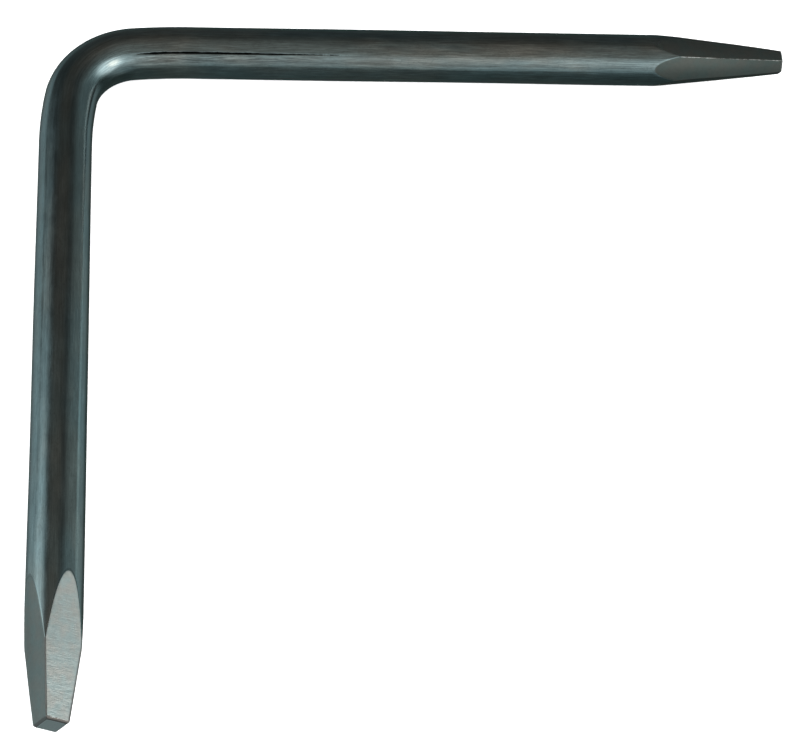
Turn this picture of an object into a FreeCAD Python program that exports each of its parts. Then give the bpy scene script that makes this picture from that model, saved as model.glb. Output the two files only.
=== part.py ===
import FreeCAD, Part
import math
import os

# Tapered faucet seat wrench.  One round steel bar is bent to a right-angled L.
# The end of one leg is ground to a tapered hexagon and the end of the other
# to a tapered square, so that each end wedges in the hole of a faucet seat.
#
# Millimetres.  The wrench lies flat: +Z is up, normal to the plane of the L.
# The hexagonal leg points along +X, and the square leg along -Y.
# The origin is the centre of the bounding box, on the surface it lies on.

# Bar stock
STOCK_DIAMETER = 9.525

# Legs, from the corner where the two leg axes cross to each tip
HEX_LEG = 132.8
SQUARE_LEG = 135.6

# Bend, measured on the bar's centreline: a tight arc with a longer, gentler
# arc on each side of it, where the bar starts to leave the straight
BEND_RADIUS = 12.7
HEX_EASING_RADIUS = 107.0
HEX_EASING_ANGLE = 5.7
SQUARE_EASING_RADIUS = 67.5
SQUARE_EASING_ANGLE = 8.6
BEND_ANGLE = 90.0

# Ground ends: size across the flats at the tip, the length from the tip to
# where the flats run out on the round bar, the angle of the first ridge from
# +Z towards the inside of the L, and the chamfer round the tip
HEX_SIDES = 6
HEX_TIP_FLATS = 4.03
HEX_GROUND_LENGTH = 24.6
HEX_FIRST_RIDGE = 30.0
HEX_TIP_CHAMFER = 0.25
SQUARE_SIDES = 4
SQUARE_TIP_FLATS = 4.28
SQUARE_GROUND_LENGTH = 25.5
SQUARE_FIRST_RIDGE = -14.2
SQUARE_TIP_CHAMFER = 0.42

# How far the cutting shape runs past the flats and around the bar
RUN_ON = 1.15

BAR_RADIUS = STOCK_DIAMETER / 2
CORNER = FreeCAD.Vector((BAR_RADIUS - HEX_LEG) / 2, (SQUARE_LEG - BAR_RADIUS) / 2, BAR_RADIUS)
UP = FreeCAD.Vector(0, 0, 1)
HEX_WAY = FreeCAD.Vector(1, 0, 0)
SQUARE_WAY = FreeCAD.Vector(0, -1, 0)


def heading(turned):
    """The way the centreline runs after turning this many degrees from the hexagonal leg."""
    angle = math.radians(turned)
    return FreeCAD.Vector(-math.cos(angle), -math.sin(angle), 0)


def inward(turned):
    """The way from the centreline to the centre of its curve."""
    return heading(turned + 90)


def arc_point(start, start_turn, radius, turn):
    """Where an arc of this radius that leaves start has got to after this turn."""
    centre = start + inward(start_turn) * radius
    return centre - inward(start_turn + turn) * radius


def bend_arcs():
    """The radius and turn of each arc, in order from the hexagonal leg."""
    tight_angle = BEND_ANGLE - HEX_EASING_ANGLE - SQUARE_EASING_ANGLE
    return [
        (HEX_EASING_RADIUS, HEX_EASING_ANGLE),
        (BEND_RADIUS, tight_angle),
        (SQUARE_EASING_RADIUS, SQUARE_EASING_ANGLE),
    ]


def bend_start(arcs):
    """Where the hexagonal leg's straight ends, so that the arcs finish on the square leg's axis."""
    reach = 0
    turned = 0
    for radius, turn in arcs:
        before = math.sin(math.radians(turned))
        turned += turn
        reach += radius * (math.sin(math.radians(turned)) - before)
    return CORNER + HEX_WAY * reach


def centreline():
    """The bar's centreline, from the hexagonal tip round the bend to the square tip."""
    arcs = bend_arcs()
    here = bend_start(arcs)
    edges = [Part.LineSegment(CORNER + HEX_WAY * HEX_LEG, here).toShape()]
    turned = 0
    for radius, turn in arcs:
        middle = arc_point(here, turned, radius, turn / 2)
        end = arc_point(here, turned, radius, turn)
        edges.append(Part.Arc(here, middle, end).toShape())
        here = end
        turned += turn
    edges.append(Part.LineSegment(here, CORNER + SQUARE_WAY * SQUARE_LEG).toShape())
    return Part.Wire(edges)


def round_bar():
    """The bent bar before its ends are ground."""
    section = Part.makeCircle(BAR_RADIUS, CORNER + HEX_WAY * HEX_LEG, HEX_WAY)
    return centreline().makePipeShell([Part.Wire(section)], True, False)


def polygon(centre, inside, sides, first_ridge, flats):
    """The corners of a regular polygon across a leg, of this size across its flats."""
    ridge_radius = flats / 2 / math.cos(math.pi / sides)
    corners = []
    for index in range(sides):
        angle = math.radians(first_ridge + index * 360 / sides)
        corners.append(centre + (UP * math.cos(angle) + inside * math.sin(angle)) * ridge_radius)
    return corners


def flat_face(corners):
    """A flat face with these corners."""
    return Part.Face(Part.makePolygon(corners + corners[:1]))


def frustum(front, back):
    """A solid with flat sides between two parallel polygons."""
    faces = [flat_face(front), flat_face(back)]
    for index in range(len(front)):
        after = (index + 1) % len(front)
        faces.append(flat_face([front[index], front[after], back[after], back[index]]))
    return Part.Solid(Part.Shell(faces))


def grinding_waste(way, inside, leg, sides, first_ridge, tip_flats, ground_length):
    """What is ground off round one end to leave its tapered polygon."""
    tip = CORNER + way * leg
    length = ground_length * RUN_ON
    back_flats = tip_flats + (STOCK_DIAMETER - tip_flats) * RUN_ON
    front = polygon(tip, inside, sides, first_ridge, tip_flats)
    back = polygon(tip - way * length, inside, sides, first_ridge, back_flats)
    return Part.makeCylinder(BAR_RADIUS * RUN_ON, length, tip, -way).cut(frustum(front, back))


def tip_edges(bar, way):
    """The edges round the end face that looks this way."""
    faces = [face for face in bar.Faces if face.normalAt(0, 0).dot(way) > 0.999]
    return max(faces, key=lambda face: face.CenterOfMass.dot(way)).Edges


def wrench_bar():
    """The whole wrench: a bent bar with a tapered hexagon and a tapered square."""
    hex_waste = grinding_waste(
        HEX_WAY, SQUARE_WAY, HEX_LEG, HEX_SIDES, HEX_FIRST_RIDGE, HEX_TIP_FLATS, HEX_GROUND_LENGTH
    )
    square_waste = grinding_waste(
        SQUARE_WAY,
        HEX_WAY,
        SQUARE_LEG,
        SQUARE_SIDES,
        SQUARE_FIRST_RIDGE,
        SQUARE_TIP_FLATS,
        SQUARE_GROUND_LENGTH,
    )
    bar = round_bar().cut(hex_waste).cut(square_waste)
    bar = bar.makeChamfer(HEX_TIP_CHAMFER, tip_edges(bar, HEX_WAY))
    return bar.makeChamfer(SQUARE_TIP_CHAMFER, tip_edges(bar, SQUARE_WAY))


os.makedirs("parts", exist_ok=True)
wrench_bar().exportStep("parts/wrench_bar.step")
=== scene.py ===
import bmesh
import bpy
import math
import numpy as np
from mathutils import Matrix, Vector


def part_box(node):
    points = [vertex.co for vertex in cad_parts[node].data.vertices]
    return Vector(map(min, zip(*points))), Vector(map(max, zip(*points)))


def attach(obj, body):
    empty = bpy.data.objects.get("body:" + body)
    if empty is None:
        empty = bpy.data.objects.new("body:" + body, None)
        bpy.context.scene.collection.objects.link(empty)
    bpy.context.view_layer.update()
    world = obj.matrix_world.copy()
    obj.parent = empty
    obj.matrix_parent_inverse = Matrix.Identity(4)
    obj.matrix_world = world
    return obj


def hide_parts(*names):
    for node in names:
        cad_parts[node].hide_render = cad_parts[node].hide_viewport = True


# Tapered faucet seat wrench, in metres.  The wrench lies flat on a pale floor: the hexagonal
# leg points along +X, the square leg along -Y, and +Z is up.  The bar is built again here as
# one fine mesh, with rounded ridges, crowned faces and a draw seam, to stand for the CAD bar.
#
# Distances along the bar are measured on its centreline from the hexagonal tip.  Angles round
# the bar are measured from +Z towards the inside of the L.

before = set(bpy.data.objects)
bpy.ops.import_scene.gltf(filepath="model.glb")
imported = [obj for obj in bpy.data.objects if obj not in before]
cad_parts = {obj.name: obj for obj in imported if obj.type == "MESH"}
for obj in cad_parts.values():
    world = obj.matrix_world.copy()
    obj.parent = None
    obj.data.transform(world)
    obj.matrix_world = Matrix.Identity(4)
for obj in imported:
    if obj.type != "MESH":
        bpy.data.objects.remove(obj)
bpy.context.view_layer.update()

MM = 0.001

# ---------------------------------------------------------------- the bar's sizes

bar_low, bar_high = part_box("wrench_bar")
BAR_RADIUS = (bar_high.z - bar_low.z) / 2
CORNER = Vector((bar_low.x + BAR_RADIUS, bar_high.y - BAR_RADIUS, bar_low.z + BAR_RADIUS))
HEX_LEG = bar_high.x - CORNER.x
SQUARE_LEG = CORNER.y - bar_low.y

# The bend's arcs from the hexagonal leg to the square leg: centreline radius and angle
BEND_ARCS = [(107.0 * MM, 5.7), (12.7 * MM, 75.7), (67.5 * MM, 8.6)]

# The ground ends, with angles in degrees.  A face lies between one ridge and the next.
#   crown:        how much higher a face is halfway along it than a plane
#   cross_crown:  each face's slope at its edges, from its crown across the bar
#   freshness: each face's, from 0, dull, to 1, freshly ground; the values also
#                          paint light on some faces and shade on others
#   wear, soil: how far the bright line and the darkening reach from each ridge
HEX_END = {
    "sides": 6,
    "first_ridge": 30.0,
    "tip_flats": 4.03 * MM,
    "ground_length": 24.6 * MM,
    "chamfer": 0.25 * MM,
    "crown": 0.06 * MM,
    "cross_crown": (9.0, 9.0, 9.0, 9.0, 9.0, 5.0),
    "ridge_rounding": 0.12 * MM,
    # Painted light and shade: the faces' values differ partly to make some faces lighter and others
    # darker
    "freshness": (0.02, 0.05, 0.08, 0.04, 0.06, 0.17),
    "wear": (0.075 * MM, 0.0, 0.04 * MM, 0.06 * MM, 0.05 * MM, 0.03 * MM),
    "soil": (0.0, 0.12 * MM, 0.0, 0.0, 0.12 * MM, 0.10 * MM),
}
SQUARE_END = {
    "sides": 4,
    "first_ridge": -14.2,
    "tip_flats": 4.28 * MM,
    "ground_length": 25.5 * MM,
    "chamfer": 0.42 * MM,
    "crown": 0.0,
    "cross_crown": (1.0, 4.0, 4.0, 7.0),
    "ridge_rounding": 0.18 * MM,
    # Painted light and shade: these values make some of the square's faces lighter and others darker
    "freshness": (1.0, 0.75, 0.55, 0.25),
    "wear": (0.0, 0.0, 0.03 * MM, 0.03 * MM),
    "soil": (0.16 * MM, 0.28 * MM, 0.10 * MM, 0.14 * MM),
}
# 1 for a plain chamfer round each tip, 2 for a quarter round
TIP_EDGE_SHAPE = 1.35
# The share of its crown across the bar that a face has at the tip
TIP_CROWN_SHARE = 0.3
# Roughly how far hand grinding leaves a face above and below its true height
FACE_WANDER = 0.018 * MM
# The rounding of the edge where a face runs out on the bar
FACE_EDGE_ROUNDING = 0.05 * MM
# Stands in for no darkening, so that nothing is divided by zero
LEAST_RIDGE_DARKENING = 0.001 * MM
# The darkening is full near a ridge and fades out over its reach, more steeply the larger this is
RIDGE_DARKENING_STEEPNESS = 1.5

# The draw seam: a fine groove along the hexagonal leg, with its ends measured from the corner
SEAM_ANGLE = 39.4
SEAM_WIDTH = 0.29 * MM
SEAM_DEPTH = 0.13 * MM
SEAM_START = 11.0 * MM
SEAM_END = 56.5 * MM
# How quickly it deepens at the bend and fades out towards the hexagon
SEAM_FADE_IN = 9.0
SEAM_FADE_OUT = 1.5
# Its width where it is weakest, as a share of its full width
SEAM_LEAST_WIDTH = 0.35
# Two waves make its edges ragged: the length in which each turns by one radian, how much they
# widen it, and how far it wavers
SEAM_WAVES = (0.31 * MM, 0.83 * MM)
SEAM_WIDENING = 0.1
SEAM_WAVER = 0.0075 * MM
# The black in the seam reaches past the groove, mostly on its upper side
SEAM_MARK_SHIFT = 0.04 * MM
SEAM_MARK_SPREAD = 1.1
# Scoring beside the seam, on the side towards the inside of the L
SCORING_ANGLE = 50.0
SCORING_SPREAD = 12.0

# How far out of round the drawn bar is, where that starts from each tip, and over what length
LOBING = 0.025 * MM
LOBING_START = 20 * MM
LOBING_FADE = 30 * MM
# The length over which its three lobes, and its two, wind round the bar by one radian
THREE_LOBE_TWIST = 14 * MM
TWO_LOBE_TWIST = 9 * MM

# The mesh: points in each ring, from the underside round, and the steps between rings
COLUMNS = 192
UNDERSIDE = -180.0
ANGLE_SAMPLES = 3601
TIP_STEP = 0.05 * MM
FACE_STEP = 0.45 * MM
RUN_OUT_STEP = 0.16 * MM
PLAIN_HEX_STEP = 1.6 * MM
SEAM_STEP = 0.7 * MM
BEND_STEP = 0.5 * MM
PLAIN_SQUARE_STEP = 2.0 * MM
# Where the fine rings for the faces' run-out start and end, as shares of the ground length
RUN_OUT_START = 0.45
RUN_OUT_END = 1.06
# Where the columns have left the ridges for the shank's own spacing, and over what length, as
# shares of the ground length too
COLUMNS_LEFT = 1.7
COLUMNS_LEAVING = 0.6
# The rings that close each end face, as shares of its size
CAP_SCALES = [0.15, 0.4, 0.65, 0.85, 0.96]

# ---------------------------------------------------------------- the bar's centreline


def bend_reach():
    """How far the bend's two ends are from the corner, along the hexagonal and the square leg."""
    along_hex = 0
    along_square = 0
    turned = 0
    for radius, angle in BEND_ARCS:
        after = turned + math.radians(angle)
        along_hex += radius * (math.sin(after) - math.sin(turned))
        along_square += radius * (math.cos(turned) - math.cos(after))
        turned = after
    return along_hex, along_square


HEX_REACH, SQUARE_REACH = bend_reach()
HEX_STRAIGHT = HEX_LEG - HEX_REACH
SQUARE_STRAIGHT = SQUARE_LEG - SQUARE_REACH
BEND_LENGTH = sum(radius * math.radians(angle) for radius, angle in BEND_ARCS)
BEND_END = HEX_STRAIGHT + BEND_LENGTH
BAR_LENGTH = BEND_END + SQUARE_STRAIGHT


def way_at(turned):
    """The centreline's direction after turning this far from the hexagonal leg, in radians."""
    return np.array((-math.cos(turned), -math.sin(turned), 0))


def inside_at(turned):
    """The direction towards the inside of the bend."""
    return way_at(turned + math.pi / 2)


def station(distance):
    """The centreline's point and inside direction at this distance."""
    point = np.array(CORNER) - way_at(0) * HEX_LEG
    point = point + way_at(0) * min(distance, HEX_STRAIGHT)
    left = distance - HEX_STRAIGHT
    turned = 0
    for radius, angle in BEND_ARCS:
        if left <= 0:
            break
        turn = min(left / radius, math.radians(angle))
        point = point + radius * (inside_at(turned) - inside_at(turned + turn))
        turned += turn
        left -= radius * math.radians(angle)
    if left > 0:
        point = point + way_at(turned) * left
    return point, inside_at(turned)


# ---------------------------------------------------------------- the bar's section


def smooth_min(a, b, width):
    """The smaller of two distances, with the corner between them rounded over this width."""
    share = np.clip(0.5 + 0.5 * (b - a) / width, 0, 1)
    return b + (a - b) * share - width * share * (1 - share)


def smooth_step(value):
    """0 to 1 with level ends."""
    held = np.clip(value, 0, 1)
    return held * held * (3 - 2 * held)


def tip_edge(end, from_tip):
    """How much the edge round a tip takes off each face at this distance from it."""
    share = max(0.0, 1 - from_tip / end["chamfer"])
    return end["chamfer"] * (1 - (1 - share**TIP_EDGE_SHAPE) ** (1 / TIP_EDGE_SHAPE))


def face_height(end, from_tip, number):
    """The distance from the bar's axis to the middle of each numbered face."""
    along = from_tip / end["ground_length"]
    plane = end["tip_flats"] / 2 + (BAR_RADIUS - end["tip_flats"] / 2) * along
    crown = end["crown"] * 4 * along * (1 - along)
    # Two waves along each face, out of step from face to face
    wander = np.sin(number * 2.4 + along * 5.0) + 0.6 * np.sin(number * 4.1 - along * 9.0)
    return plane + crown + FACE_WANDER * wander * min(1.0, 4 * along) - tip_edge(end, from_tip)


def crowned_faces(end, from_tip, height, off_centre, face, ridge):
    """The distance from the bar's axis to faces that are crowned across, with rounded ridges."""
    half_sector = math.pi / end["sides"]
    from_ridge = half_sector - np.abs(off_centre)
    crown_share = min(1.0, TIP_CROWN_SHARE + from_tip / end["ground_length"])
    face_slope = np.radians(end["cross_crown"]) * crown_share
    # At a ridge the slope is the mean of the slopes of the two faces that meet there
    ridge_slope = (face_slope + np.roll(face_slope, 1)) / 2
    drop_per_slope = height * math.tan(half_sector) / 2
    edge = height - drop_per_slope * ridge_slope[ridge]
    # A ridge is an arc tangent to the faces on both sides of it
    rounding = np.minimum(end["ridge_rounding"], edge / 2)
    arc_centre = (edge - rounding) / math.cos(half_sector)
    tangent = half_sector - np.arctan((edge - rounding) * math.tan(half_sector) / edge)
    under_root = np.maximum(rounding**2 - (arc_centre * np.sin(from_ridge)) ** 2, 0)
    arc = arc_centre * np.cos(from_ridge) + np.sqrt(under_root)
    across = np.clip((from_ridge - tangent) / (half_sector - tangent), 0, 1)
    slope = ridge_slope[ridge] * (1 - across) + face_slope[face] * across
    flat = (height - drop_per_slope * slope * (1 - across) ** 2) / np.cos(off_centre)
    return np.where(from_ridge < tangent, arc, flat)


def ground_faces(end, from_tip, angles):
    """The ground faces' distance from the bar's axis in each direction, and their marks: each
    direction's distance from its ridge in millimetres, that ridge's wear and darkening, and that
    face's finish with its painted light and shade."""
    sector = 2 * math.pi / end["sides"]
    first_ridge = math.radians(end["first_ridge"])
    first_face = first_ridge + sector / 2
    number = np.round((angles - first_face) / sector)
    off_centre = angles - first_face - number * sector
    face = number.astype(int) % end["sides"]
    ridge = np.round((angles - first_ridge) / sector).astype(int) % end["sides"]
    height = face_height(end, from_tip, number)
    from_ridge = (sector / 2 - np.abs(off_centre)) * height
    soil = np.array(end["soil"])[ridge] + LEAST_RIDGE_DARKENING
    marks = {
        "from_ridge": from_ridge / MM,
        "soil": smooth_step(RIDGE_DARKENING_STEEPNESS * (1 - from_ridge / soil)),
        "ridge_wear": np.array(end["wear"])[ridge] / MM,
        # Each face's finish, with its painted light and shade
        "freshness": np.array(end["freshness"])[face],
    }
    return crowned_faces(end, from_tip, height, off_centre, face, ridge), marks


def round_radius(distance, angles):
    """The drawn bar's own radius: slow lobes that wind along it, and none at the ends."""
    from_end = min(distance, BAR_LENGTH - distance)
    share = smooth_step((from_end - LOBING_START) / LOBING_FADE)
    three = np.sin(3 * angles + distance / THREE_LOBE_TWIST)
    two = np.sin(2 * angles - distance / TWO_LOBE_TWIST)
    return BAR_RADIUS + LOBING * share * (three + 0.8 * two)


def seam_strength(distance):
    """How strong the draw seam is at this distance, from 0 to 1."""
    from_corner = HEX_LEG - distance
    along = (from_corner - SEAM_START) / (SEAM_END - SEAM_START)
    return float(smooth_step(along * SEAM_FADE_IN) * smooth_step((1 - along) * SEAM_FADE_OUT))


def seam_shape(distance, angles, shift, spread):
    """The seam's share of its full strength at each angle: 1 in the middle and 0 well away."""
    strength = seam_strength(distance)
    ragged = sum(math.sin(distance / length) for length in SEAM_WAVES)
    width_share = SEAM_LEAST_WIDTH + (1 - SEAM_LEAST_WIDTH) * strength
    width = SEAM_WIDTH / 2 * spread * width_share * (1 + SEAM_WIDENING * ragged)
    off = (angles - math.radians(SEAM_ANGLE)) * BAR_RADIUS + shift + SEAM_WAVER * ragged
    return strength * np.exp(-((off / width) ** 2))


def section(distance, angles):
    """The radius at each angle, and the marks that the material needs, in millimetres or shares."""
    end = HEX_END
    from_tip = distance
    if distance > BAR_LENGTH / 2:
        end = SQUARE_END
        from_tip = BAR_LENGTH - distance
    faces, marks = ground_faces(end, from_tip, angles)
    drawn = round_radius(distance, angles)
    seam = SEAM_DEPTH * seam_shape(distance, angles, 0.0, 1.0)
    from_scoring = (np.degrees(angles) - SCORING_ANGLE) / SCORING_SPREAD
    marks["ground_depth"] = (drawn - faces) / MM
    marks["seam_mark"] = seam_shape(distance, angles, SEAM_MARK_SHIFT, SEAM_MARK_SPREAD)
    marks["scored"] = seam_strength(distance) * np.exp(-(from_scoring**2))
    marks["past_chamfer"] = np.full(COLUMNS, (from_tip - end["chamfer"]) / MM)
    return smooth_min(drawn - seam, faces, FACE_EDGE_ROUNDING), marks


# ---------------------------------------------------------------- where the mesh's points go


def crowded_angles(centres, crowding, width):
    """Column angles right round the bar, in radians, closer together near these centres.  The
    centres and the width of the crowding are in degrees."""
    fine = np.linspace(UNDERSIDE, UNDERSIDE + 360, ANGLE_SAMPLES)
    density = np.ones_like(fine)
    for centre in centres:
        off = (fine - centre + 180) % 360 - 180
        density += crowding * np.exp(-((off / width) ** 2))
    reached = np.concatenate(((0,), np.cumsum((density[1:] + density[:-1]) / 2)))
    wanted = np.linspace(0, reached[-1], COLUMNS + 1)[:-1]
    return np.radians(np.interp(wanted, reached, fine))


def ridge_angles(end):
    """Where an end's ridges are, in degrees."""
    return [end["first_ridge"] + index * 360 / end["sides"] for index in range(end["sides"])]


HEX_ANGLES = crowded_angles(ridge_angles(HEX_END), crowding=3.0, width=4.0)
SHANK_ANGLES = crowded_angles([SEAM_ANGLE], crowding=6.0, width=3.0)
SQUARE_ANGLES = crowded_angles(ridge_angles(SQUARE_END), crowding=4.0, width=4.0)


def end_share(end, from_tip):
    """How far the columns keep to an end's ridges: 1 on the ground faces and 0 on the shank."""
    length = end["ground_length"]
    return smooth_step((length * COLUMNS_LEFT - from_tip) / (length * COLUMNS_LEAVING))


def column_angles(distance):
    """The columns' angles at this distance."""
    hex_share = end_share(HEX_END, distance)
    square_share = end_share(SQUARE_END, BAR_LENGTH - distance)
    shank_share = 1 - hex_share - square_share
    return HEX_ANGLES * hex_share + SQUARE_ANGLES * square_share + SHANK_ANGLES * shank_share


def spaced(first, last, step):
    """Distances from first up to, but not including, last, about this step apart."""
    count = max(1, round((last - first) / step))
    return [first + (last - first) * index / count for index in range(count)]


def end_distances(end):
    """Ring distances from a tip to where its faces have run out: closer together at the edges."""
    edge_end = end["chamfer"] * 2
    run_out = end["ground_length"] * RUN_OUT_START
    last = end["ground_length"] * RUN_OUT_END
    return (
        spaced(0, edge_end, TIP_STEP)
        + spaced(edge_end, run_out, FACE_STEP)
        + spaced(run_out, last, RUN_OUT_STEP)
    )


def ring_distances():
    """Every ring's distance along the bar."""
    square_end = [BAR_LENGTH - distance for distance in reversed(end_distances(SQUARE_END))]
    hex_end_last = HEX_END["ground_length"] * RUN_OUT_END
    seam_first = HEX_LEG - SEAM_END
    return (
        end_distances(HEX_END)
        + spaced(hex_end_last, seam_first, PLAIN_HEX_STEP)
        + spaced(seam_first, HEX_STRAIGHT, SEAM_STEP)
        + spaced(HEX_STRAIGHT, BEND_END, BEND_STEP)
        + spaced(BEND_END, square_end[0], PLAIN_SQUARE_STEP)
        + square_end
    )


# ---------------------------------------------------------------- the bar's mesh


def ring_points(distance, scale):
    """One ring of the bar's surface, the same ring on a straightened bar, and its marks."""
    centre, inside = station(distance)
    angles = column_angles(distance)
    radius, marks = section(distance, angles)
    high = radius * scale * np.cos(angles)
    inward = radius * scale * np.sin(angles)
    points = centre + high[:, None] * np.array((0, 0, 1)) + inward[:, None] * inside
    straight = np.stack((high, inward, np.full(COLUMNS, distance)), axis=1)
    return points, straight, marks


def ring_faces(ring_count):
    """The faces between each ring and the next, and one to close each end."""
    faces = []
    for ring in range(ring_count - 1):
        here = ring * COLUMNS
        there = here + COLUMNS
        for column in range(COLUMNS):
            after = (column + 1) % COLUMNS
            faces.append((here + column, there + column, there + after, here + after))
    last = (ring_count - 1) * COLUMNS
    faces.append(tuple(range(COLUMNS)))
    faces.append(tuple(last + column for column in reversed(range(COLUMNS))))
    return faces


def make_bar():
    """The whole bar as one closed mesh."""
    distances = ring_distances()
    rings = [(distances[0], scale) for scale in CAP_SCALES]
    rings += [(distance, 1.0) for distance in distances]
    rings += [(distances[-1], scale) for scale in reversed(CAP_SCALES)]
    points, straight, marks = zip(*(ring_points(distance, scale) for distance, scale in rings))
    bar_mesh = bpy.data.meshes.new("steel_bar")
    bar_mesh.from_pydata(np.concatenate(points).tolist(), [], ring_faces(len(rings)))
    straight_position = bar_mesh.attributes.new("straight_position", "FLOAT_VECTOR", "POINT")
    straight_position.data.foreach_set("vector", np.concatenate(straight).ravel())
    for name in marks[0]:
        mark = bar_mesh.attributes.new(name, "FLOAT", "POINT")
        mark.data.foreach_set("value", np.concatenate([ring[name] for ring in marks]))
    bar_mesh.shade_smooth()
    bar_mesh.validate()
    bar = bpy.data.objects.new("steel_bar", bar_mesh)
    bpy.context.scene.collection.objects.link(bar)
    return bar


# ---------------------------------------------------------------- material nodes


class Nodes:
    """A node tree with a short way to add each kind of node used here."""

    def __init__(self, tree):
        self.tree = tree
        tree.nodes.clear()

    def add(self, kind, **settings):
        """A new node with these settings."""
        node = self.tree.nodes.new(kind)
        for name, value in settings.items():
            setattr(node, name, value)
        return node

    def put(self, socket, value):
        """Links an output, or sets a plain value."""
        if isinstance(value, bpy.types.NodeSocket):
            self.tree.links.new(value, socket)
        elif isinstance(value, tuple) and len(value) == 3 and socket.type == "RGBA":
            socket.default_value = (*value, 1)
        else:
            socket.default_value = value

    def math(self, operation, *values):
        """One step of arithmetic on numbers."""
        node = self.add("ShaderNodeMath", operation=operation)
        for socket, value in zip(node.inputs, values):
            self.put(socket, value)
        return node.outputs[0]

    def attribute(self, name, output="Fac"):
        """One of the mesh's own attributes."""
        return self.add("ShaderNodeAttribute", attribute_name=name).outputs[output]

    def noise(self, vector, across, along, detail=2.0, roughness=0.5, distortion=0.0):
        """Noise whose grains have about these sizes, in metres, across and along the bar."""
        scaled = self.add("ShaderNodeVectorMath", operation="MULTIPLY")
        self.put(scaled.inputs[0], vector)
        scaled.inputs[1].default_value = (1 / across, 1 / across, 1 / along)
        node = self.add("ShaderNodeTexNoise")
        self.put(node.inputs["Vector"], scaled.outputs[0])
        node.inputs["Scale"].default_value = 1.0
        node.inputs["Detail"].default_value = detail
        node.inputs["Roughness"].default_value = roughness
        node.inputs["Distortion"].default_value = distortion
        return node.outputs[0]

    def between(self, value, low, high, out_low=0.0, out_high=1.0):
        """Carries low..high over to out_low..out_high smoothly, held at both ends."""
        node = self.add("ShaderNodeMapRange", interpolation_type="SMOOTHSTEP")
        for socket, number in zip(node.inputs, (value, low, high, out_low, out_high)):
            self.put(socket, number)
        return node.outputs[0]

    def mix(self, share, first, second):
        """Colour first where share is 0, and second where it is 1.  The node has sockets for every
        kind of value, and these are the ones for colours."""
        node = self.add("ShaderNodeMix", data_type="RGBA")
        self.put(node.inputs["Factor"], share)
        self.put(node.inputs[6], first)
        self.put(node.inputs[7], second)
        return node.outputs[2]

    def blend(self, share, first, second):
        """Number first where share is 0, and second where it is 1."""
        node = self.add("ShaderNodeMix", data_type="FLOAT")
        self.put(node.inputs["Factor"], share)
        self.put(node.inputs[2], first)
        self.put(node.inputs[3], second)
        return node.outputs[0]

    def times(self, colour, factor):
        """A colour made brighter or darker by a number."""
        node = self.add("ShaderNodeVectorMath", operation="SCALE")
        self.put(node.inputs[0], colour)
        self.put(node.inputs["Scale"], factor)
        return node.outputs[0]

    def varied(self, colour, value, low, high, first, second):
        """A colour times first where value is low, and times second where it is high."""
        return self.times(colour, self.between(value, low, high, first, second))

    def bump(self, height, distance):
        """A normal from a height of 0 to 1 that stands for this distance."""
        node = self.add("ShaderNodeBump")
        node.inputs["Strength"].default_value = 1.0
        self.put(node.inputs["Distance"], distance)
        self.put(node.inputs["Height"], height)
        return node.outputs[0]


# ---------------------------------------------------------------- the steel

DRAWN_BLUE = (0.280, 0.345, 0.360)
DRAWN_BROWN = (0.333, 0.340, 0.327)
DRAWN_BROWN_CLEAN = (0.322, 0.343, 0.336)
SEAM_BLACK = (0.008, 0.009, 0.009)
BRIGHT_COOL = (0.905, 0.970, 0.965)
BRIGHT_WARM = (0.975, 0.935, 0.900)
DULL_GREEN = (0.136, 0.158, 0.147)
DULL_BROWN = (0.153, 0.156, 0.142)
RIDGE_DARK = (0.145, 0.120, 0.112)
CHAMFER_DULL = (0.36, 0.335, 0.325)
CHAMFER_FRESH = (0.20, 0.18, 0.172)
END_FACE = (0.94, 0.97, 0.98)
WORN_RIDGE = (0.72, 0.72, 0.70)

SEAM_ROUGHNESS = 0.7
END_FACE_ROUGHNESS = 0.54
WORN_RIDGE_ROUGHNESS = 0.30
DULL_ROUGHNESS = 0.35
BRIGHT_ROUGHNESS = 0.46

# The height that each bump pattern stands for.  A bright face's marks are finer away from its tip
DRAWN_RELIEF = 0.009 * MM
DRAWN_RELIEF_CLEAN = 0.006 * MM
DULL_RELIEF = 0.003 * MM
BRIGHT_RELIEF_TIP = 0.042 * MM
BRIGHT_RELIEF = 0.030 * MM


def drawn_colour(nodes, place, along, clean, cloud, streak, pits):
    """Stains, clouds and streaks, paler towards the square end, and scoring beside the seam."""
    stain = nodes.noise(place, 6 * MM, 20 * MM, detail=3.0)
    scuff = nodes.noise(place, 0.20 * MM, 3.0 * MM, detail=2.0, roughness=0.6, distortion=0.3)
    score = nodes.noise(place, 0.20 * MM, 3.2 * MM, detail=2.0, roughness=0.6)
    wander = nodes.noise(place, 1.3 * MM, 2.4 * MM, detail=3.0, distortion=0.6)
    hairline = nodes.math("ABSOLUTE", nodes.math("SUBTRACT", wander, 0.5))
    brown = nodes.mix(clean, DRAWN_BROWN, DRAWN_BROWN_CLEAN)
    colour = nodes.mix(nodes.between(stain, 0.36, 0.64), DRAWN_BLUE, brown)
    colour = nodes.varied(colour, clean, 0.0, 1.0, 1.0, 0.88)
    colour = nodes.varied(colour, along, BAR_LENGTH * 0.55, BAR_LENGTH * 0.85, 1.0, 1.28)
    colour = nodes.varied(colour, along, BAR_LENGTH * 0.85, BAR_LENGTH * 0.96, 1.0, 1.22)
    colour = nodes.varied(colour, cloud, 0.3, 0.7, 0.90, 1.10)
    lined = nodes.varied(colour, streak, 0.33, 0.67, 0.86, 1.12)
    lined = nodes.varied(lined, scuff, 0.30, 0.70, 0.86, 1.15)
    colour = nodes.mix(nodes.blend(clean, 1.0, 0.45), colour, lined)
    colour = nodes.varied(colour, pits, 0.22, 0.34, 0.74, 1.0)
    colour = nodes.varied(colour, hairline, 0.0, 0.03, 0.90, 1.0)
    scored = nodes.varied(colour, score, 0.36, 0.62, 0.66, 1.42)
    return nodes.mix(nodes.attribute("scored"), colour, scored)


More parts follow.
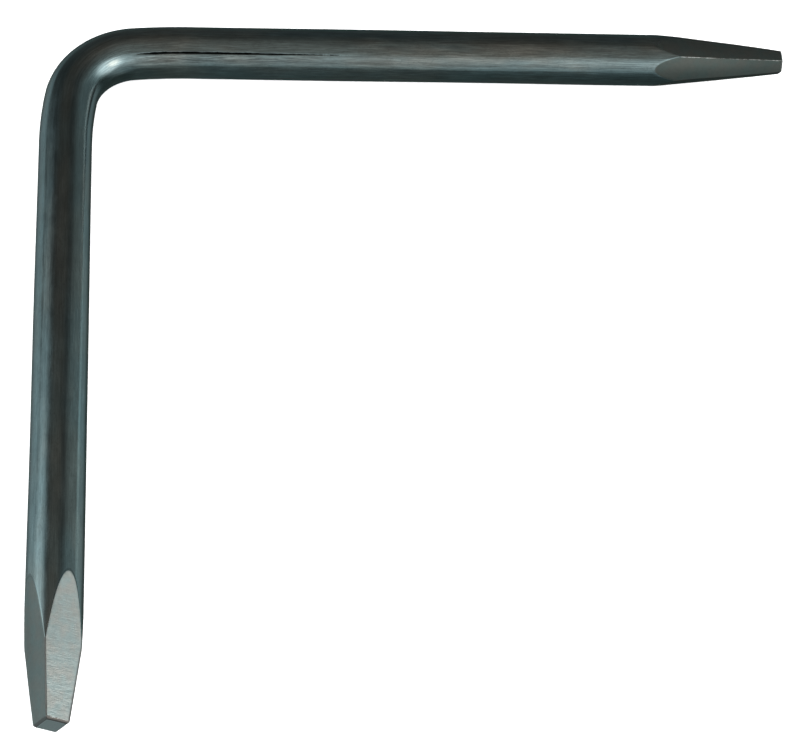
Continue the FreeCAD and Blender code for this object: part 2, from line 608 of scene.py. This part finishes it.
def drawn_steel(nodes, place, along):
    """The bar as it was drawn, with its seam: colour, roughness, and bump height and relief."""
    cloud = nodes.noise(place, 2.2 * MM, 6 * MM, detail=4.0, roughness=0.6)
    streak = nodes.noise(place, 0.28 * MM, 7 * MM, detail=3.0, roughness=0.6)
    pits = nodes.noise(place, 0.35 * MM, 0.7 * MM, detail=3.0, roughness=0.6)
    # The square leg is cleaner and smoother than the hexagonal leg
    clean = nodes.between(along, HEX_STRAIGHT, BEND_END)
    colour = drawn_colour(nodes, place, along, clean, cloud, streak, pits)
    chipped = nodes.between(pits, 0.3, 0.7, -0.12, 0.12)
    seam = nodes.between(nodes.math("ADD", nodes.attribute("seam_mark"), chipped), 0.14, 0.28)
    colour = nodes.mix(seam, colour, SEAM_BLACK)
    roughness = nodes.between(streak, 0.3, 0.7, 0.16, 0.20)
    roughness = nodes.math("ADD", roughness, nodes.between(cloud, 0.35, 0.7, -0.02, 0.05))
    roughness = nodes.blend(seam, roughness, SEAM_ROUGHNESS)
    height = nodes.blend(0.12, streak, pits)
    return colour, roughness, height, nodes.blend(clean, DRAWN_RELIEF, DRAWN_RELIEF_CLEAN)


def ground_colour(nodes, place, from_tip, finish_and_shade, mark):
    """Bright steel where freshly ground and dark where not, with painted light and shade from face
    to face, and darker beside the ridges.
    """
    patch = nodes.noise(place, 2.4 * MM, 2.6 * MM, detail=3.0)
    mottle = nodes.noise(place, 0.6 * MM, 0.6 * MM, detail=4.0, roughness=0.65)
    bright = nodes.mix(nodes.between(patch, 0.34, 0.66), BRIGHT_COOL, BRIGHT_WARM)
    bright = nodes.varied(bright, mark, 0.32, 0.68, 0.93, 1.0)
    dull = nodes.mix(nodes.between(patch, 0.36, 0.64), DULL_GREEN, DULL_BROWN)
    # Each face's value sets its finish and also paints light or shade on the whole face
    colour = nodes.mix(finish_and_shade, dull, bright)
    # Darker beside the ridges
    colour = nodes.mix(nodes.math("MULTIPLY", nodes.attribute("soil"), 0.85), colour, RIDGE_DARK)
    colour = nodes.varied(colour, mottle, 0.3, 0.6, 0.93, 1.0)
    # Painted shade and light: towards the tip the dullest faces are darker, and the less dull ones
    # are brighter
    tip_light_and_shade = nodes.between(finish_and_shade, 0.0, 0.25, 0.86, 1.10)
    tip_light_and_shade = nodes.math("SUBTRACT", tip_light_and_shade, nodes.between(finish_and_shade, 0.3, 1.0, 0.0, 0.07))
    return nodes.times(colour, nodes.blend(nodes.between(from_tip, 2 * MM, 14 * MM), tip_light_and_shade, 1.0))


def ground_steel(nodes, place, from_tip):
    """Ground faces with marks across the bar: colour, roughness, and bump height and relief."""
    # Each face's finish, which also carries its painted light and shade
    finish_and_shade = nodes.attribute("freshness")
    mark = nodes.noise(place, 2.2 * MM, 0.30 * MM, detail=3.0, roughness=0.6, distortion=0.7)
    scratch = nodes.noise(place, 1.6 * MM, 0.09 * MM, detail=1.0)
    colour = ground_colour(nodes, place, from_tip, finish_and_shade, mark)
    roughness = nodes.blend(finish_and_shade, DULL_ROUGHNESS, BRIGHT_ROUGHNESS)
    roughness = nodes.math("ADD", nodes.between(mark, 0.3, 0.7, -0.02, 0.02), roughness)
    height = nodes.blend(nodes.between(from_tip, 4 * MM, 17 * MM, 0.09, 0.01), scratch, mark)
    fresh_relief = nodes.between(from_tip, 4 * MM, 17 * MM, BRIGHT_RELIEF_TIP, BRIGHT_RELIEF)
    relief = nodes.blend(nodes.math("MULTIPLY", finish_and_shade, finish_and_shade), DULL_RELIEF, fresh_relief)
    return colour, roughness, height, relief


def tip_colours(nodes, from_tip, chips, colour, roughness):
    """Adds the chamfer and the end face, and gives the chamfer's share as well."""
    chipped = nodes.between(chips, 0.3, 0.7, -0.08, 0.08)
    past_chamfer = nodes.math("ADD", nodes.attribute("past_chamfer"), chipped)
    chamfer = nodes.between(past_chamfer, -0.05, 0.08, 1.0, 0.0)
    # Beside each face, by that face's finish and its painted light and shade
    chamfer_colour = nodes.mix(nodes.attribute("freshness"), CHAMFER_DULL, CHAMFER_FRESH)
    colour = nodes.mix(chamfer, colour, chamfer_colour)
    end_face = nodes.between(from_tip, 0.0, 0.03 * MM, 1.0, 0.0)
    colour = nodes.mix(end_face, colour, END_FACE)
    return colour, nodes.blend(end_face, roughness, END_FACE_ROUGHNESS), chamfer


def run_out_shade(nodes, along, ground_depth, colour):
    """Painted shade: darkens the edges of the square's faces, where they run out on the bar."""
    on_edge = nodes.between(nodes.math("ABSOLUTE", ground_depth), 0.01, 0.05, 1.0, 0.0)
    on_edge = nodes.math("MULTIPLY", on_edge, nodes.math("GREATER_THAN", along, BAR_LENGTH / 2))
    return nodes.times(colour, nodes.blend(on_edge, 1.0, 0.68))


def worn_ridges(nodes, chips, ground, chamfer, colour, roughness):
    """Adds the bright, broken line along each worn ridge."""
    broken = nodes.between(chips, 0.42, 0.60, 0.1, 1.0)
    reach = nodes.math("MULTIPLY", nodes.attribute("ridge_wear"), broken)
    worn = nodes.math("LESS_THAN", nodes.attribute("from_ridge"), reach)
    worn = nodes.math("MULTIPLY", worn, nodes.math("SUBTRACT", ground, chamfer))
    colour = nodes.mix(worn, colour, WORN_RIDGE)
    return colour, nodes.blend(worn, roughness, WORN_RIDGE_ROUGHNESS)


def make_bar_material():
    """Drawn steel on the shank, ground bright at the square end and darker at the hexagon."""
    material = bpy.data.materials.new("bar_steel")
    material.use_nodes = True
    nodes = Nodes(material.node_tree)
    place = nodes.attribute("straight_position", "Vector")
    parted = nodes.add("ShaderNodeSeparateXYZ")
    nodes.put(parted.inputs[0], place)
    along = parted.outputs["Z"]
    from_tip = nodes.math("MINIMUM", along, nodes.math("SUBTRACT", BAR_LENGTH, along))
    chips = nodes.noise(place, 0.4 * MM, 0.9 * MM, detail=3.0, roughness=0.7)
    drawn, drawn_roughness, drawn_height, drawn_relief = drawn_steel(nodes, place, along)
    faces, faces_roughness, faces_height, faces_relief = ground_steel(nodes, place, from_tip)
    faces, faces_roughness, chamfer = tip_colours(nodes, from_tip, chips, faces, faces_roughness)
    ground_depth = nodes.attribute("ground_depth")
    ground = nodes.between(ground_depth, 0.0, 0.04)
    colour = run_out_shade(nodes, along, ground_depth, nodes.mix(ground, drawn, faces))
    roughness = nodes.blend(ground, drawn_roughness, faces_roughness)
    colour, roughness = worn_ridges(nodes, chips, ground, chamfer, colour, roughness)
    relief = nodes.blend(ground, drawn_relief, faces_relief)
    height = nodes.blend(ground, drawn_height, faces_height)
    shader = nodes.add("ShaderNodeBsdfPrincipled")
    shader.inputs["Metallic"].default_value = 1.0
    nodes.put(shader.inputs["Base Color"], colour)
    nodes.put(shader.inputs["Roughness"], roughness)
    nodes.put(shader.inputs["Normal"], nodes.bump(height, relief))
    output = nodes.add("ShaderNodeOutputMaterial")
    nodes.put(output.inputs["Surface"], shader.outputs[0])
    return material


# ---------------------------------------------------------------- the floor

FLOOR_CENTRE_RADII = (0.02, 0.3)
FLOOR_RADIUS = 1.3
BACKDROP_RADIUS = 2.2
BACKDROP_HEIGHT = 1.8
BACKDROP_STEPS = 12
FLOOR_SIDES = 96
PAPER_GREYS = ((0.88, 0.88, 0.88), (0.90, 0.90, 0.90))
PAPER_GRAIN = 1.5 * MM
# The paper's own soft glow, as on a light table
PAPER_GLOW = 0.76


def make_floor_material():
    """A plain pale paper on a light table, with the faintest grain."""
    material = bpy.data.materials.new("pale_paper")
    material.use_nodes = True
    nodes = Nodes(material.node_tree)
    place = nodes.add("ShaderNodeTexCoord").outputs["Object"]
    grain = nodes.noise(place, PAPER_GRAIN, PAPER_GRAIN, detail=2.0)
    shader = nodes.add("ShaderNodeBsdfPrincipled")
    shader.inputs["Roughness"].default_value = 0.9
    shader.inputs["Specular IOR Level"].default_value = 0.0
    shader.inputs["Emission Color"].default_value = (1.0, 1.0, 1.0, 1.0)
    shader.inputs["Emission Strength"].default_value = PAPER_GLOW
    nodes.put(shader.inputs["Base Color"], nodes.mix(nodes.between(grain, 0.3, 0.7), *PAPER_GREYS))
    output = nodes.add("ShaderNodeOutputMaterial")
    nodes.put(output.inputs["Surface"], shader.outputs[0])
    material.cycles.emission_sampling = "NONE"
    return material


def floor_profile():
    """Radius and height of each ring of the floor and its backdrop, from the middle out."""
    curve = BACKDROP_RADIUS - FLOOR_RADIUS
    profile = [(radius, 0.0) for radius in (*FLOOR_CENTRE_RADII, FLOOR_RADIUS)]
    for step in range(1, BACKDROP_STEPS + 1):
        angle = math.radians(90 * step / BACKDROP_STEPS)
        profile.append((FLOOR_RADIUS + curve * math.sin(angle), curve * (1 - math.cos(angle))))
    profile.append((BACKDROP_RADIUS, BACKDROP_HEIGHT))
    return profile


def make_floor():
    """A round pale floor that curves up into a backdrop on every side."""
    shape = bmesh.new()
    rings = []
    for radius, height in floor_profile():
        ring = []
        for index in range(FLOOR_SIDES):
            angle = 2 * math.pi * index / FLOOR_SIDES
            ring.append(shape.verts.new((radius * math.cos(angle), radius * math.sin(angle), height)))
        rings.append(ring)
    shape.faces.new(rings[0])
    for inner, outer in zip(rings, rings[1:]):
        for index in range(FLOOR_SIDES):
            after = (index + 1) % FLOOR_SIDES
            shape.faces.new((inner[index], outer[index], outer[after], inner[after]))
    floor_mesh = bpy.data.meshes.new("floor")
    shape.to_mesh(floor_mesh)
    shape.free()
    floor_mesh.shade_smooth()
    floor_mesh.materials.append(make_floor_material())
    floor = bpy.data.objects.new("floor", floor_mesh)
    bpy.context.scene.collection.objects.link(floor)
    # The steel mirrors the room's own light, with a dark table under it, in place of the paper
    floor.visible_glossy = False


# ---------------------------------------------------------------- the room's light

# Soft lights in the room: azimuth, elevation, full and faded-out radius in degrees, and colour.
# A few here and in TABLE_LIGHTS keep, or nearly keep, the place and size that a rough fit to the
# photograph's shading gave them.  The others were set one by one, and so were most of the colours.
ROOM_LIGHTS = [
    (117, 27, 0, 31, (1.60, 1.68, 1.65)),
    (126, 31, 0, 12, (2.10, 1.48, 1.12)),
    (124, 20, 30, 55, (0.16, 0.20, 0.20)),
    (151, 30, 8, 25, (0.43, 0.47, 0.47)),
    (162, 17, 28, 44, (0.15, 0.175, 0.18)),
    (174, 3, 3, 10, (0.24, 0.29, 0.29)),
    (190, 60, 0, 70, (0.198, 0.179, 0.154)),
    (350, 58, 8, 28, (0.014, 0.006, 0.0)),
    (262, 25, 13, 48, (1.28, 1.58, 1.62)),
    (300, 2, 5, 20, (0.08, 0.10, 0.10)),
    (77, 18, 4, 46, (0.135, 0.178, 0.178)),
]
ROOM_DARK = (0.060, 0.070, 0.069)
# The dark table's glow towards these directions, in the same terms
TABLE_LIGHTS = [
    (260, 5, 30, 110, (0.17, 0.21, 0.22)),
    (302, -12, 6, 30, (0.13, 0.165, 0.17)),
    (54, -8, 10, 36, (0.20, 0.265, 0.275)),
    (54, -2, 3, 10, (0.26, 0.37, 0.375)),
    (176, -2, 2, 9, (0.20, 0.24, 0.24)),
    (140, 4, 0, 40, (0.26, 0.32, 0.33)),
]
TABLE_DARK = (0.052, 0.073, 0.070)
# Half the height over which the table gives way to the room, on a sphere of radius 1
HORIZON_SOFTNESS = 0.02

OVERHEAD_SIZE = 2.4
OVERHEAD_POWER = 7.0
OVERHEAD_PLACE = (0.2, -0.1, 1.3)


def direction(azimuth, elevation):
    """A unit vector: azimuth in degrees clockwise from +Y seen from above, and elevation."""
    across = math.cos(math.radians(elevation))
    return (
        across * math.sin(math.radians(azimuth)),
        across * math.cos(math.radians(azimuth)),
        math.sin(math.radians(elevation)),
    )


def glow(nodes, towards, lights, dark):
    """The light from each direction: a dark room or table with these soft lights in it."""
    total = dark
    for azimuth, elevation, full, faded, colour in lights:
        aligned = nodes.add("ShaderNodeVectorMath", operation="DOT_PRODUCT")
        nodes.put(aligned.inputs[0], towards)
        aligned.inputs[1].default_value = direction(azimuth, elevation)
        edges = (math.cos(math.radians(faded)), math.cos(math.radians(full)))
        share = nodes.between(aligned.outputs["Value"], *edges)
        added = nodes.add("ShaderNodeVectorMath", operation="ADD")
        nodes.put(added.inputs[0], total)
        nodes.put(added.inputs[1], nodes.times(colour, share))
        total = added.outputs[0]
    return total


def make_world():
    """The room that the steel mirrors: soft lights above the horizon and a dark table below it."""
    world = bpy.data.worlds.new("studio_room")
    world.use_nodes = True
    bpy.context.scene.world = world
    nodes = Nodes(world.node_tree)
    towards = nodes.add("ShaderNodeTexCoord").outputs["Generated"]
    parted = nodes.add("ShaderNodeSeparateXYZ")
    nodes.put(parted.inputs[0], towards)
    above = nodes.between(parted.outputs["Z"], -HORIZON_SOFTNESS, HORIZON_SOFTNESS)
    table = glow(nodes, towards, TABLE_LIGHTS, TABLE_DARK)
    room = glow(nodes, towards, ROOM_LIGHTS, ROOM_DARK)
    background = nodes.add("ShaderNodeBackground")
    nodes.put(background.inputs["Color"], nodes.mix(above, table, room))
    output = nodes.add("ShaderNodeOutputWorld")
    nodes.put(output.inputs["Surface"], background.outputs[0])


def make_overhead_light():
    """A broad soft light over the floor.  The steel doesn't mirror it."""
    light = bpy.data.lights.new("overhead_softbox", "AREA")
    light.shape = "DISK"
    light.size = OVERHEAD_SIZE
    light.energy = OVERHEAD_POWER
    lamp = bpy.data.objects.new("overhead_softbox", light)
    lamp.location = OVERHEAD_PLACE
    bpy.context.scene.collection.objects.link(lamp)
    lamp.visible_glossy = False
    lamp.visible_camera = False


# ---------------------------------------------------------------- the camera

SENSOR_WIDTH = 36.0
CAMERA_LENS = 125.6
# The camera's place seen from its aim: degrees from straight in front, less than 0 towards -X,
# and degrees up.  It is then rolled about its own view.
CAMERA_AZIMUTH = -9.808
CAMERA_ELEVATION = 57.151
CAMERA_ROLL = 8.616
# The aim is the point that the lens looks at, in the plane of the bar's axis
CAMERA_AIM = CORNER + Vector((58.07 * MM, -68.77 * MM, 0))
CAMERA_DISTANCE = 480.0 * MM
CAMERA_NEAR = 0.01
CAMERA_FAR = 10.0


def make_camera():
    """The camera, rolled a little, looking down at the wrench from the front."""
    away = Vector(direction(180 - CAMERA_AZIMUTH, CAMERA_ELEVATION))
    data = bpy.data.cameras.new("camera")
    data.sensor_width = SENSOR_WIDTH
    data.lens = CAMERA_LENS
    data.clip_start = CAMERA_NEAR
    data.clip_end = CAMERA_FAR
    camera = bpy.data.objects.new("camera", data)
    camera.location = CAMERA_AIM + away * CAMERA_DISTANCE
    turn = (-away).to_track_quat("-Z", "Y").to_matrix().to_4x4()
    roll = Matrix.Rotation(math.radians(CAMERA_ROLL), 4, "Z")
    camera.rotation_mode = "QUATERNION"
    camera.rotation_quaternion = (turn @ roll).to_quaternion()
    bpy.context.scene.collection.objects.link(camera)
    bpy.context.scene.camera = camera


# ---------------------------------------------------------------- the scene

steel_bar = make_bar()
steel_bar.data.materials.append(make_bar_material())
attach(steel_bar, "root")
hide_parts("wrench_bar")

make_floor()
make_world()
make_overhead_light()
make_camera()
bpy.context.scene.view_settings.view_transform = "Standard"
